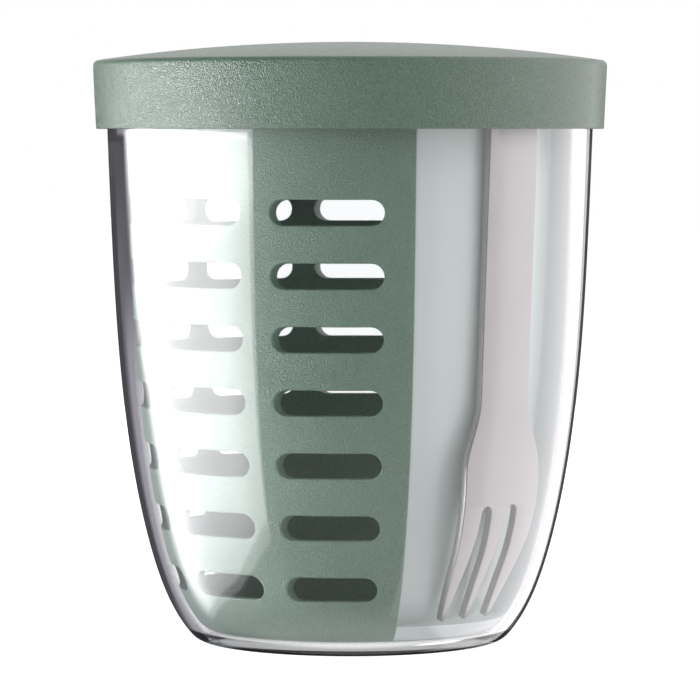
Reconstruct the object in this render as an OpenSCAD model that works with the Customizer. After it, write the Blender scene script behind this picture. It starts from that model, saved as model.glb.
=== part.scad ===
// Food pot with a strainer insert, a fork and a domed twist-on lid.
// The axis of the pot is Z, the base stands on Z = 0, and +X points at the fork in its pocket.

/* [Pot] */
// Outer radius of the pot's side at the shoulder under the lid
pot_r = 50.5; // [46:0.5:56]
// Height of the tapering side, from the base to the shoulder
side_h = 107.2; // [100:0.2:125]
// How far the side draws in over its whole height in a straight line
side_taper = 4; // [3:0.1:6]
// How much further the side draws in near the base, in a curve
side_belly = 11.3; // [9:0.1:14]
// Power of that curve: a higher one keeps the belly lower
side_power = 3.6; // [3:0.1:5]
// How much further still it draws in just over the base
side_toe = 3.4; // [2.5:0.1:4.5]
// Power of that second curve
toe_power = 20; // [16:1:26]
// Height at which the side begins to round into the flat under the base
base_round_h = 1.5; // [1:0.1:2.5]
// Height at which the faces inside begin to round into their floors
floor_round_h = 2.8; // [2.6:0.1:3.4]
// Wall of the pot at its foot, and its floor
pot_wall = 1.7; // [1.5:0.1:2]
// How much thicker the wall is at the shoulder
wall_swell = 1.9; // [1.5:0.1:2.2]

/* [Neck] */
// Height of the neck over the shoulder
neck_h = 9.3; // [8.5:0.1:14]
// Wall of the neck
neck_wall = 2.35; // [2:0.05:3]
// Height over the shoulder at which the mouth reaches its bore
mouth_rise = 2; // [1:0.1:4]
// Width of the ledge in the mouth that the strainer hangs on
ledge_w = 0.8; // [0.5:0.05:1]

/* [Twist lock] */
// Number of ridges round the neck, and of lugs in the lid
lock_count = 4; // [3:1:5]
// Arc that a ridge covers, in degrees
ridge_arc = 44; // [30:1:46]
// Height of a ridge
ridge_h = 1.8; // [1.2:0.1:2.2]
// How far a ridge stands out of the neck
ridge_out = 1.2; // [0.9:0.05:1.6]
// Distance from the rim down to the ridges
ridge_drop = 3.6; // [2.5:0.1:4]
// Arc that a lug covers, in degrees
lug_arc = 24; // [16:1:25]
// Height of a lug
lug_h = 1.8; // [1.2:0.1:2.2]
// Arc of the stop at the far end of a ridge, in degrees
stop_arc = 3.5; // [2:0.5:5]

/* [Strainer] */
// Gap between the strainer and the pot at the foot and under the floor
strainer_gap = 1.3; // [1:0.1:1.6]
// Gap between the strainer and the pot's wall at the shoulder
top_gap = 0.4; // [0.35:0.05:0.8]
// Wall and floor of the strainer
strainer_wall = 2; // [1.4:0.1:2.4]
// Thickness of the flange that hangs on the ledge
flange_t = 2; // [1.5:0.1:2.4]

/* [Drain slots] */
// Number of rows of slots in the side
slot_rows = 7; // [5:1:7]
// Number of slot pitches in a full turn, of which the pocket takes two
slot_turn = 10; // [9:1:12]
// Distance from the rim down to the middle of the top row
slot_drop = 26.4; // [20:0.1:28]
// Distance from row to row
slot_pitch = 12.6; // [10:0.1:12.8]
// Height of a slot along the wall
slot_h = 5.1; // [3:0.1:6]
// Width of the web between two slots, in degrees
slot_web = 8; // [6:0.5:12]
// Number of slots in the floor
floor_slots = 8; // [5:1:9]
// Width of a floor slot
floor_slot_w = 4; // [2.5:0.1:4.5]
// Distance from the axis to the inner end of a floor slot
floor_slot_in = 7; // [7:0.5:10]
// Distance from the axis to the outer end of a floor slot
floor_slot_out = 18; // [14:0.5:19]

/* [Fork pocket] */
// Depth of the pocket in the strainer's side
pocket_depth = 5.2; // [4.8:0.1:5.6]
// Arc that the pocket covers, in degrees
pocket_arc = 63.6; // [58:0.1:64]
// Distance from the rim down to the top of the pocket's wall
pocket_drop = 0.8; // [0.5:0.1:1.5]
// Height of the tine rest over the strainer's underside
tine_rest_h = 3.5; // [3:0.1:4.2]

/* [Fork] */
// Thickness of the fork's sheet
fork_t = 1.5; // [1:0.1:1.8]
// Width of the handle
handle_w = 14.5; // [10:0.5:16]
// Width of the head at its widest
head_w = 22; // [18:0.2:23]
// Height of the head's widest place over the tips
head_h = 30.6; // [26:0.2:33]
// Length of the shoulders, from the widest place up to the handle
shoulder_h = 15; // [8:0.5:17]
// Length of the gaps between the tines
tine_h = 23.7; // [18:0.1:26]
// Width of those gaps at their root
gap_w = 2.8; // [2:0.1:3.2]
// Distance from the middle of the fork to the middle of a gap's root
gap_y = 3.8; // [3.4:0.1:4.6]
// Width of a tine's tip
tip_w = 1; // [0.8:0.1:1.6]
// Distance from tip to tip
tip_pitch = 6.8; // [6:0.1:7.4]
// Distance from the rim down to the end of the handle
fork_drop = 0.3; // [0.3:0.1:4]
// Radius of the corners at the end of the handle
handle_round = 1.2; // [0.4:0.1:3]
// Distance below the shoulder at which the handle lies closest to the pocket
fork_touch_drop = 12; // [6:1:20]
// How far the front of the tips stands out of the pocket's wall
tip_stand = 2.6; // [2.4:0.1:3]
// Lean of the straight tines, in degrees
tine_lean = 25; // [23:0.5:27]
// Length of the bend on either side of the place where the lines of handle and tines cross
bend_run = 9.5; // [8:0.5:12]

/* [Lid] */
// How far the skirt reaches below the pot's shoulder
skirt_lap = 0.6; // [0.3:0.1:1.5]
// Wall of the skirt at its top
skirt_wall = 2.3; // [1.8:0.1:3]
// How far the skirt draws in towards its lower edge
skirt_draft = 0.6; // [0.2:0.1:0.9]
// Height of the lid's crown over its seat on the seal
crown_h = 6.1; // [5.5:0.1:10]
// Radius of the domed top
dome_r = 365; // [350:5:700]
// Radius of the edge between top and skirt
edge_round = 1.2; // [0.6:0.1:1.6]
// Thickness of the domed top
dome_t = 2.2; // [1.5:0.1:2.6]
// Wall of the ring that the seal is stretched on
seal_ring_wall = 1; // [0.8:0.1:1.4]
// How far that ring reaches down beside the seal
seal_ring_h = 1.5; // [1:0.1:1.7]

/* [Seal] */
// Thickness of the seal
seal_t = 2; // [1.8:0.1:3]
// Width of the seal
seal_w = 2.5; // [2.2:0.1:2.6]
// Bevel of the seal's edges
seal_bevel = 0.4; // [0.1:0.1:0.6]

/* [Clearances] */
// Between the strainer and the bore of the mouth
slide_gap = 0.35; // [0.3:0.05:0.5]
// Between the strainer's flange and its counterbore
flange_gap = 0.3; // [0.3:0.05:0.4]
// Between the lid's skirt and whatever is widest under it
skirt_gap = 0.6; // [0.4:0.1:1]
// Between a lug and the neck
lug_gap = 0.35; // [0.3:0.05:0.5]
// Between a lug and the ridge that it turns under
lug_play = 0.3; // [0.2:0.05:0.5]
// Between the seal and its ring
seal_gap = 0.2; // [0.15:0.05:0.3]
// Between the fork and the pocket, and between the tips and their rest
fork_gap = 0.35; // [0.3:0.05:0.5]

/* [Hidden] */
$fn = 96;

// Number of steps along the side and how they crowd, round the base, across the dome, round small edges
side_steps = 16;
step_power = 1.7;
round_steps = 6;
dome_steps = 10;
edge_steps = 4;
// How far a cut runs past what it cuts, and a boss into what carries it
over = 1;
bite = 0.6;

// Faces of pot and strainer: how far inside the pot's outer face they lie at the foot and at the shoulder
outer_face = [0, 0];
pot_face = [pot_wall, pot_wall + wall_swell];
strainer_face = pot_face + [strainer_gap, top_gap];
inner_face = strainer_face + [strainer_wall, strainer_wall];
middle_face = (strainer_face + inner_face) / 2;
function inset(face, z) = face[0] + (face[1] - face[0]) * z / side_h;

// The pot's side: radius, slope and lean at a height, and the point of another face square inside it
function side_t(z) = (side_h - z) / side_h;
function side_r(z) =
    pot_r - side_taper * side_t(z)
    - side_belly * pow(side_t(z), side_power)
    - side_toe * pow(side_t(z), toe_power);
function side_slope(z) =
    (side_taper
    + side_belly * side_power * pow(side_t(z), side_power - 1)
    + side_toe * toe_power * pow(side_t(z), toe_power - 1)) / side_h;
function side_lean(z) = atan(side_slope(z));
function side_pt(z, face) = [
    side_r(z) - inset(face, z) * cos(side_lean(z)),
    z + inset(face, z) * sin(side_lean(z))
];

// The rounding into a base or floor is an arc that meets the side and the flat without a corner.
// All the faces inside share one centre for it, and the outer face has a tighter arc of its own.
function round_h(face) = face == outer_face ? base_round_h : floor_round_h;
function round_lean(face) = side_lean(round_h(face));
function round_size(face) = round_h(face) / (1 - sin(round_lean(face)));
function flat_r(face) = side_r(round_h(face)) - round_size(face) * cos(round_lean(face));
function flat_z(face) = inset(face, round_h(face));
function round_pt(a, face) = [
    flat_r(face) + (round_size(face) - flat_z(face)) * cos(a),
    round_size(face) - (round_size(face) - flat_z(face)) * sin(a)
];

// Heights along the side, closer together near the base, where it bends most
function step_z(u, low) = low + (side_h - low) * pow(u, step_power);
// Half section of a face from the edge of its flat up to the shoulder
function form(face) = concat(
    [for (i = [0 : round_steps]) round_pt(90 + (round_lean(face) - 90) * i / round_steps, face)],
    [for (i = [1 : side_steps]) side_pt(step_z(i / side_steps, round_h(face)), face)]
);
function shifted(points, dx) = [for (p = points) [p[0] + dx, p[1]]];
function reversed(points) = [for (i = [len(points) - 1 : -1 : 0]) points[i]];
// Radius of a face at its own height: first the height of the outer face's point that it lies square to
function outer_z(z, face, n = 5) =
    n == 0 ? z : let (o = outer_z(z, face, n - 1)) z - inset(face, o) * sin(side_lean(o));
function form_r(z, face) = side_pt(outer_z(z, face), face)[0];

// Strainer: height of its underside, and its radii at the top
strainer_z = flat_z(strainer_face);
strainer_r = side_pt(side_h, strainer_face)[0];
strainer_in_r = side_pt(side_h, inner_face)[0];
strainer_mid_r = (strainer_r + strainer_in_r) / 2;

// Neck, ledge and rim, round the strainer
rim_z = side_h + neck_h;
ledge_z = rim_z - flange_t;
mouth_r = strainer_r + slide_gap;
neck_r = mouth_r + neck_wall;
flange_r = mouth_r + ledge_w;
counterbore_r = flange_r + flange_gap;

// Twist lock
ridge_r = neck_r + ridge_out;
ridge_z = rim_z - ridge_drop - ridge_h;
lug_in_r = neck_r + lug_gap;
lug_z = ridge_z - lug_play - lug_h;
lock_pitch = 360 / lock_count;
// A lug that has turned half a pitch stands under a ridge and almost meets the stop
stop_clear = 0.5;
stop_start = lock_pitch / 2 - lug_arc / 2 - stop_clear - stop_arc;

// Drain slots
slot_step = 360 / slot_turn;
slot_columns = slot_turn - 2;
slot_half = (slot_step - slot_web) / 2;
slot_reach = 7;
slot_arc_steps = 6;
function slot_z(row) = rim_z - slot_drop - slot_pitch * row;

// Fork pocket
pocket_half = pocket_arc / 2;
pocket_side = atan(strainer_wall / (strainer_r - pocket_depth));
pocket_top_z = rim_z - pocket_drop;
tine_rest_z = strainer_z + tine_rest_h;
function pocket_pt(z) = [form_r(z, strainer_face) - pocket_depth, z];

// Fork, front face: a straight handle along the pocket, an arc, and straight tines
tip_z = tine_rest_z + fork_gap;
fork_top_z = rim_z - fork_drop;
touch_z = side_h - fork_touch_drop;
fork_lean = side_lean(touch_z);
fork_out = [cos(fork_lean), -sin(fork_lean)];
fork_up = [sin(fork_lean), cos(fork_lean)];
touch_pt = side_pt(touch_z, strainer_face) + [-pocket_depth, 0] + (fork_gap + fork_t) * fork_out;
head_z = tip_z + head_h;
tip_pt = pocket_pt(tip_z) + [tip_stand, 0];
tine_out = [cos(tine_lean), -sin(tine_lean)];
tine_up = [sin(tine_lean), cos(tine_lean)];
// Where the two lines cross, and the arc that touches both
cross_pt = tip_pt + ((touch_pt - tip_pt) * fork_out) / (tine_up * fork_out) * tine_up;
bend_pt = cross_pt + bend_run * fork_up;
bend_r = bend_run / tan((tine_lean - fork_lean) / 2);
bend_centre = bend_pt - bend_r * fork_out;
bend_steps = 10;
// The sheet runs a little past the tips and the end of the handle, where the outline cuts it
tine_end = tip_pt - 2 * over * tine_up;
fork_end = bend_pt + (fork_top_z + over - bend_pt[1]) / cos(fork_lean) * fork_up;
function bend_dir(i) = fork_lean + (tine_lean - fork_lean) * i / bend_steps;
function bend_at(i, r) = bend_centre + r * [cos(bend_dir(i)), -sin(bend_dir(i))];

// Fork, outline: half widths along its height
shoulder_steps = 8;
taper_steps = 8;
taper_power = 2.2;
tip_edge = tip_pitch + tip_w / 2;
function shoulder_y(u) = handle_w / 2 + (head_w - handle_w) / 2 * (1 + cos(180 * u)) / 2;
function taper_y(u) = head_w / 2 - (head_w / 2 - tip_edge) * pow(u, taper_power);

// Lid: seat on the seal, skirt, and a dome that rolls over into the skirt
seat_z = rim_z + seal_t;
skirt_z = side_h - skirt_lap;
skirt_in_r = max(ridge_r, pot_r) + skirt_gap;
lid_r = skirt_in_r + skirt_wall;
dome_z = seat_z + crown_h - dome_r;
edge_x = lid_r - edge_round;
dome_a = asin(edge_x / (dome_r - edge_round));
edge_z = dome_z + (dome_r - edge_round) * cos(dome_a);
seal_in_r = neck_r - seal_w;
seal_ring_r = seal_in_r - seal_gap;
seal_ring_in_r = seal_ring_r - seal_ring_wall;
dome_in_r = dome_r - dome_t;
dome_in_a = asin(seal_ring_in_r / dome_in_r);
function dome_pt(a, r) = [r * sin(a), dome_z + r * cos(a)];

clear_plastic = [0.90, 0.93, 0.95, 0.35];
sage = [0.46, 0.56, 0.50];
steel = [0.80, 0.79, 0.77];
silicone = [0.86, 0.88, 0.86];

// A sector of a solid of revolution, from the angle a0 over the angle a
module sector(a0, a) {
    rotate([0, 0, a0])
        rotate_extrude(angle = a)
            children();
}

// A flat slot with round ends, lying along X
module slot_outline(length, width) {
    half = (length - width) / 2;
    polygon([
        for (end = [1, -1], i = [0 : slot_arc_steps])
            let (a = (end > 0 ? -90 : 90) + 180 * i / slot_arc_steps)
                [end * half + width / 2 * cos(a), width / 2 * sin(a)]
    ]);
}

module pot() {
    color(clear_plastic) {
        rotate_extrude()
            polygon(concat(
                [[0, 0]],
                form(outer_face),
                [
                    [neck_r, side_h],
                    [neck_r, rim_z],
                    [counterbore_r, rim_z],
                    [counterbore_r, ledge_z],
                    [mouth_r, ledge_z],
                    [mouth_r, side_h + mouth_rise]
                ],
                reversed(form(pot_face)),
                [[0, flat_z(pot_face)]]
            ));
        for (i = [0 : lock_count - 1]) {
            sector(lock_pitch * (i + 0.5) - ridge_arc / 2, ridge_arc)
                translate([neck_r - bite, ridge_z])
                    square([ridge_out + bite, ridge_h]);
            sector(lock_pitch * i + stop_start, stop_arc)
                translate([neck_r - bite, lug_z])
                    square([ridge_out + bite, ridge_z + ridge_h / 2 - lug_z]);
        }
    }
}

module strainer_shell() {
    rotate_extrude()
        polygon(concat(
            [[0, strainer_z]],
            form(strainer_face),
            [[strainer_r, ledge_z], [flange_r, ledge_z], [flange_r, rim_z], [strainer_in_r, rim_z]],
            reversed(form(inner_face)),
            [[0, flat_z(inner_face)]]
        ));
}

// The thick wall that the fork's pocket is sunk into, joined to the shell inside the shell's own wall
module pocket_block() {
    sector(-pocket_half - pocket_side, pocket_arc + 2 * pocket_side)
        polygon(concat(
            [[flat_r(middle_face) - pocket_depth, flat_z(middle_face)]],
            shifted(form(inner_face), -pocket_depth),
            [[strainer_in_r - pocket_depth, pocket_top_z], [strainer_mid_r, pocket_top_z]],
            reversed(form(middle_face))
        ));
}

module pocket_cut() {
    sector(-pocket_half, pocket_arc)
        polygon(concat(
            [for (i = [0 : side_steps]) pocket_pt(step_z(i / side_steps, tine_rest_z))],
            [
                [strainer_r - pocket_depth, rim_z + over],
                [flange_r + over, rim_z + over],
                [flange_r + over, tine_rest_z]
            ]
        ));
}

module side_slots() {
    for (column = [0 : slot_columns - 1], row = [0 : slot_rows - 1]) {
        z = slot_z(row);
        r = form_r(z, strainer_face);
        rotate([0, 0, slot_step * (column + 1.5)])
            translate([r - slot_reach, 0, z])
                rotate([90, 0, 90])
                    linear_extrude(height = slot_reach + over)
                        slot_outline(2 * r * sin(slot_half), slot_h * cos(side_lean(z)));
    }
}

module floor_drains() {
    for (i = [0 : floor_slots - 1])
        rotate([0, 0, 360 / floor_slots * (i + 0.5)])
            translate([(floor_slot_in + floor_slot_out) / 2, 0, strainer_z - over])
                linear_extrude(height = strainer_wall + 2 * over)
                    slot_outline(floor_slot_out - floor_slot_in, floor_slot_w);
}

module strainer() {
    color(sage)
        difference() {
            union() {
                strainer_shell();
                pocket_block();
            }
            pocket_cut();
            side_slots();
            floor_drains();
        }
}

// The fork's sheet from the side: straight handle, bend, straight tines
module fork_sheet() {
    rotate([90, 0, 0])
        linear_extrude(height = head_w + 2 * over, center = true)
            polygon(concat(
                [fork_end],
                [for (i = [0 : bend_steps]) bend_at(i, bend_r)],
                [tine_end, tine_end - fork_t * tine_out],
                [for (i = [bend_steps : -1 : 0]) bend_at(i, bend_r - fork_t)],
                [fork_end - fork_t * fork_out]
            ));
}

// One half of the fork's outline from the front, without the gaps
function fork_edge() = concat(
    [[tip_edge, tip_z]],
    [for (i = [taper_steps - 1 : -1 : 0]) let (u = i / taper_steps) [taper_y(u), head_z - head_h * u]],
    [
        for (i = [1 : shoulder_steps])
            let (u = i / shoulder_steps)
                [shoulder_y(u), head_z + shoulder_h * u]
    ],
    [
        for (i = [0 : edge_steps])
            let (a = 90 * i / edge_steps)
                [
                    handle_w / 2 - handle_round * (1 - cos(a)),
                    fork_top_z - handle_round * (1 - sin(a))
                ]
    ]
);

module tine_gap() {
    root_z = tip_z + tine_h - gap_w / 2;
    polygon(concat(
        [
            [tip_w / 2 - over * (gap_y - gap_w / 2 - tip_w / 2) / tine_h, tip_z - over],
            [tip_pitch - tip_w / 2, tip_z - over]
        ],
        [
            for (i = [0 : slot_arc_steps])
                let (a = 180 * i / slot_arc_steps)
                    [gap_y + gap_w / 2 * cos(a), root_z + gap_w / 2 * sin(a)]
        ]
    ));
}

module fork_outline() {
    edge = fork_edge();
    difference() {
        polygon(concat(edge, [for (p = reversed(edge)) [-p[0], p[1]]]));
        tine_gap();
        mirror([1, 0])
            tine_gap();
    }
}

module fork() {
    color(steel)
        intersection() {
            fork_sheet();
            rotate([90, 0, 90])
                linear_extrude(height = lid_r)
                    fork_outline();
        }
}

module lid_seal() {
    color(silicone)
        rotate_extrude()
            translate([seal_in_r, rim_z])
                polygon([
                    [seal_bevel, 0],
                    [seal_w - seal_bevel, 0],
                    [seal_w, seal_bevel],
                    [seal_w, seal_t - seal_bevel],
                    [seal_w - seal_bevel, seal_t],
                    [seal_bevel, seal_t],
                    [0, seal_t - seal_bevel],
                    [0, seal_bevel]
                ]);
}

module lid() {
    color(sage) {
        rotate_extrude()
            polygon(concat(
                [for (i = [0 : dome_steps]) dome_pt(dome_a * i / dome_steps, dome_r)],
                [
                    for (i = [1 : edge_steps])
                        let (a = (90 - dome_a) * (1 - i / edge_steps))
                            [edge_x + edge_round * cos(a), edge_z + edge_round * sin(a)]
                ],
                [
                    [lid_r - skirt_draft, skirt_z],
                    [skirt_in_r, skirt_z],
                    [skirt_in_r, seat_z],
                    [seal_ring_r, seat_z],
                    [seal_ring_r, seat_z - seal_ring_h],
                    [seal_ring_in_r, seat_z - seal_ring_h]
                ],
                [for (i = [dome_steps : -1 : 0]) dome_pt(dome_in_a * i / dome_steps, dome_in_r)]
            ));
        for (i = [0 : lock_count - 1])
            sector(lock_pitch * i - lug_arc / 2, lug_arc)
                translate([lug_in_r, lug_z])
                    square([skirt_in_r - lug_in_r + bite, lug_h]);
    }
}

pot();
strainer();
fork();
lid_seal();
lid();
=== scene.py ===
# %% [markdown]
# # A clear food pot with a strainer, a fork and a twist-on lid
#
# The object is a thick clear pot. A sage-green strainer hangs in it, a steel fork stands in a pocket
# of the strainer, and a domed lid with a soft seal closes the pot. The construction is fixed already:
# it is loaded as a frame of solids, and this file gives each solid a finer mesh and a real finish.
# All sizes below are in millimetres, and `MM` turns them into Blender's metres.

# %% Load the frame
import math

import bmesh
import bpy
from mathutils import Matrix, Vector


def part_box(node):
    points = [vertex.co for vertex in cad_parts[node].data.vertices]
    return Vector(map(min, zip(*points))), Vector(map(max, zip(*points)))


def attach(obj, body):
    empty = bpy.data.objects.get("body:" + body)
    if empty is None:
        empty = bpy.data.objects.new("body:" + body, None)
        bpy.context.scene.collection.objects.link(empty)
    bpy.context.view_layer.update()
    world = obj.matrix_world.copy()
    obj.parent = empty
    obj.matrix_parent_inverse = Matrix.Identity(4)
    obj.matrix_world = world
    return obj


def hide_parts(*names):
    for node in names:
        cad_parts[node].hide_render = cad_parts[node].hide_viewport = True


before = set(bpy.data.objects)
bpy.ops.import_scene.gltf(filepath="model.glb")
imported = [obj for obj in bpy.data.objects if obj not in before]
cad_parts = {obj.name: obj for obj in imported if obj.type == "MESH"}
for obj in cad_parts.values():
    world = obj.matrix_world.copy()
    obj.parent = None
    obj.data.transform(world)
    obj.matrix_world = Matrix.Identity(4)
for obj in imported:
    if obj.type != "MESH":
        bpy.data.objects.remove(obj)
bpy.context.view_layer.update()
MM = 0.001


def box_mm(node):
    """Lowest and highest corner of a solid of the frame, in millimetres."""
    low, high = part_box(node)
    return low / MM, high / MM


print("solids:", sorted(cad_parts))

# %% [markdown]
# ## The form that everything follows
#
# Pot and strainer share one form: a side that tapers in a straight line, draws in further near the
# base along two power curves, and turns into the flat base along an arc. A curve drawn by hand would
# do for one shell, but four surfaces have to stay parallel here, so the form is a formula that can be
# asked for any `face` inside the pot's outer face. The pot's wall grows towards the shoulder, so a face
# is given by two distances from the outer face: at the foot and at the shoulder.

# %% The pot's form as a formula
POT_R = 50.5
SIDE_H = 107.2
SIDE_TAPER = 4.0
SIDE_BELLY = 11.3
SIDE_POWER = 3.6
SIDE_TOE = 3.4
TOE_POWER = 20
BASE_ROUND_H = 1.5
FLOOR_ROUND_H = 2.8
OUTER = (0.0, 0.0)
POT_INNER = (1.7, 3.6)
BASKET_OUTER = (3.0, 4.0)
BASKET_INNER = (5.0, 6.0)


def side_radius(z):
    """Radius of the pot's outer face at a height on its side."""
    t = (SIDE_H - z) / SIDE_H
    return POT_R - SIDE_TAPER * t - SIDE_BELLY * t ** SIDE_POWER - SIDE_TOE * t ** TOE_POWER


def side_lean(z):
    """Angle between the side and the vertical, in radians."""
    t = (SIDE_H - z) / SIDE_H
    belly = SIDE_BELLY * SIDE_POWER * t ** (SIDE_POWER - 1)
    toe = SIDE_TOE * TOE_POWER * t ** (TOE_POWER - 1)
    return math.atan((SIDE_TAPER + belly + toe) / SIDE_H)


def inset(face, z):
    """How far a face lies inside the pot's outer face."""
    return face[0] + (face[1] - face[0]) * z / SIDE_H


def arc_start(face):
    """Height on the outer face at which a face begins to turn into its flat."""
    return BASE_ROUND_H if face == OUTER else FLOOR_ROUND_H


def corner_arc(face):
    """The arc into the flat: radius and height of its centre, its own radius, and the side's lean."""
    start = arc_start(face)
    lean = side_lean(start)
    size = start / (1 - math.sin(lean))
    return side_radius(start) - size * math.cos(lean), size, size - inset(face, start), lean


def arc_point(face, angle):
    """Point of that arc: the angle runs from a right angle at the flat to the lean of the side."""
    centre, size, radius, _ = corner_arc(face)
    return centre + radius * math.cos(angle), size - radius * math.sin(angle)


def side_point(face, z):
    """Point of a face that lies square inside the outer face's point at height z."""
    lean = side_lean(z)
    return side_radius(z) - inset(face, z) * math.cos(lean), z + inset(face, z) * math.sin(lean)


def form_radius(face, z):
    """Radius of a face at its own height z."""
    centre, size, radius, lean = corner_arc(face)
    if z <= arc_point(face, lean)[1]:
        return centre + math.sqrt(max(radius ** 2 - (size - z) ** 2, 0))
    outer_z = min(z, SIDE_H)
    for _ in range(6):
        outer_z = min(z - inset(face, outer_z) * math.sin(side_lean(outer_z)), SIDE_H)
    return side_point(face, outer_z)[0]


def corner(face, steps=14):
    """Points of the arc from the flat up to the side."""
    lean = corner_arc(face)[3]
    return [arc_point(face, math.pi / 2 + (lean - math.pi / 2) * i / steps) for i in range(steps + 1)]


def form(face, steps=48):
    """Half section of a face, from the edge of its flat up to the shoulder."""
    start = arc_start(face)
    heights = [start + (SIDE_H - start) * (i / steps) ** 1.5 for i in range(1, steps + 1)]
    return corner(face) + [side_point(face, z) for z in heights]


print(f"flat of the base: radius {corner_arc(OUTER)[0]:.2f} mm, its edge: {corner_arc(OUTER)[1]:.2f} mm")

# %% [markdown]
# ## Helpers for turned pieces
#
# Pot, seal and lid are bodies of revolution. Blender's Screw modifier could turn a profile, but the
# pot has ridges and the lid has lugs over part of the turn, so a short function makes the rings
# itself and asks `swell` how far each point stands out. Edges are rounded in the profile: a corner
# with a radius becomes an arc, which is what catches the light on moulded plastic.

# %% Turning and rounding
WELD = 1e-7
AXIS = 1e-6


def rounded(corners, steps=5):
    """Replace each corner (r, z, radius) of a profile by an arc; a radius of 0 keeps the point."""
    section = []
    for i, (r, z, radius) in enumerate(corners):
        here = Vector((r, z))
        if not radius:
            section.append((r, z))
            continue
        back = (Vector(corners[i - 1][:2]) - here).normalized()
        ahead = (Vector(corners[(i + 1) % len(corners)][:2]) - here).normalized()
        half = math.acos(max(-1.0, min(1.0, back.dot(ahead)))) / 2
        centre = here + (back + ahead).normalized() * radius / math.sin(half)
        start = here + back * radius / math.tan(half) - centre
        end = here + ahead * radius / math.tan(half) - centre
        for k in range(steps + 1):
            arm = start.lerp(end, k / steps).normalized() * radius
            section.append(tuple(centre + arm))
    return section


def skin(bm, ring, following):
    """Join two closed rings of vertices by faces; a ring may be one vertex on the axis."""
    count = max(len(ring), len(following))
    for k in range(count):
        n = (k + 1) % count
        if len(ring) == 1:
            bm.faces.new((ring[0], following[n], following[k]))
        elif len(following) == 1:
            bm.faces.new((ring[k], ring[n], following[0]))
        else:
            bm.faces.new((ring[k], ring[n], following[n], following[k]))


def turned(section, swell=None, columns=256):
    """Turn a half section about the Z axis; swell(r, z, degrees) adds to the radius."""
    bm = bmesh.new()
    rings = []
    for r, z in section:
        if r < AXIS:
            rings.append([bm.verts.new((0, 0, z * MM))])
            continue
        ring = []
        for k in range(columns):
            angle = 2 * math.pi * k / columns
            far = r + (swell(r, z, math.degrees(angle)) if swell else 0)
            ring.append(bm.verts.new((far * math.cos(angle) * MM, far * math.sin(angle) * MM, z * MM)))
        rings.append(ring)
    for ring, following in zip(rings, rings[1:]):
        skin(bm, ring, following)
    return bm


def piece(name, bm, node, body, sharp=38):
    """Clean the mesh, shade it smooth between real edges, and let it stand for its solid."""
    bmesh.ops.remove_doubles(bm, verts=bm.verts, dist=WELD)
    bmesh.ops.dissolve_degenerate(bm, edges=bm.edges, dist=WELD)
    bmesh.ops.recalc_face_normals(bm, faces=bm.faces)
    open_edges = sum(not edge.is_manifold for edge in bm.edges)
    mesh = bpy.data.meshes.new(name)
    bm.to_mesh(mesh)
    bm.free()
    mesh.shade_smooth()
    mesh.set_sharp_from_angle(angle=math.radians(sharp))
    made = bpy.data.objects.new(name, mesh)
    bpy.context.collection.objects.link(made)
    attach(made, body)
    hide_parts(node)
    print(f"{name}: {len(mesh.polygons)} faces, {open_edges} open edges")
    return made


# %% [markdown]
# ## The pot
#
# The pot is one clear moulding with a thick wall, so light has to cross two real surfaces: a single
# sheet with a glass shader would bend light as if the pot were solid. Its profile runs from the axis
# under the base, up the outer face, round the neck and down the inner face to the axis again. The
# neck carries four ridges that the lid's lugs turn under, each with a stop at its far end.

# %% Pot
RIM_Z = box_mm("pot")[1].z
STRAINER_WALL = 2.0
FLANGE_T = 2.0
SLIDE_GAP = 0.35
NECK_WALL = 2.35
LEDGE_W = 0.8
FLANGE_GAP = 0.3
MOUTH_RISE = 2.0
STRAINER_R = side_point(BASKET_OUTER, SIDE_H)[0]
STRAINER_IN_R = side_point(BASKET_INNER, SIDE_H)[0]
LEDGE_Z = RIM_Z - FLANGE_T
MOUTH_R = STRAINER_R + SLIDE_GAP
NECK_R = MOUTH_R + NECK_WALL
FLANGE_R = MOUTH_R + LEDGE_W
COUNTERBORE_R = FLANGE_R + FLANGE_GAP

LOCK_COUNT = 4
LOCK_PITCH = 360 / LOCK_COUNT
RIDGE_ARC = 44
RIDGE_H = 1.8
RIDGE_OUT = 1.2
RIDGE_DROP = 3.6
LUG_ARC = 24
LUG_H = 1.8
LUG_PLAY = 0.3
STOP_ARC = 3.5
STOP_CLEAR = 0.5
RIDGE_Z = RIM_Z - RIDGE_DROP - RIDGE_H
LUG_Z = RIDGE_Z - LUG_PLAY - LUG_H
STOP_MIDDLE = LOCK_PITCH / 2 - LUG_ARC / 2 - STOP_CLEAR - STOP_ARC / 2
RAMP = 0.15


def near(degrees, middle, arc):
    """True within an arc round a place that repeats with the lock's pitch."""
    away = (degrees - middle + LOCK_PITCH / 2) % LOCK_PITCH - LOCK_PITCH / 2
    return abs(away) <= arc / 2


def pot_swell(r, z, degrees):
    """How far the ridges and stops stand out of the neck."""
    if abs(r - NECK_R) > AXIS:
        return 0
    ridge = RIDGE_Z < z < RIDGE_Z + RIDGE_H and near(degrees, LOCK_PITCH / 2, RIDGE_ARC)
    stop = LUG_Z < z < RIDGE_Z + RIDGE_H / 2 and near(degrees, STOP_MIDDLE, STOP_ARC)
    return RIDGE_OUT if ridge or stop else 0


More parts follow.
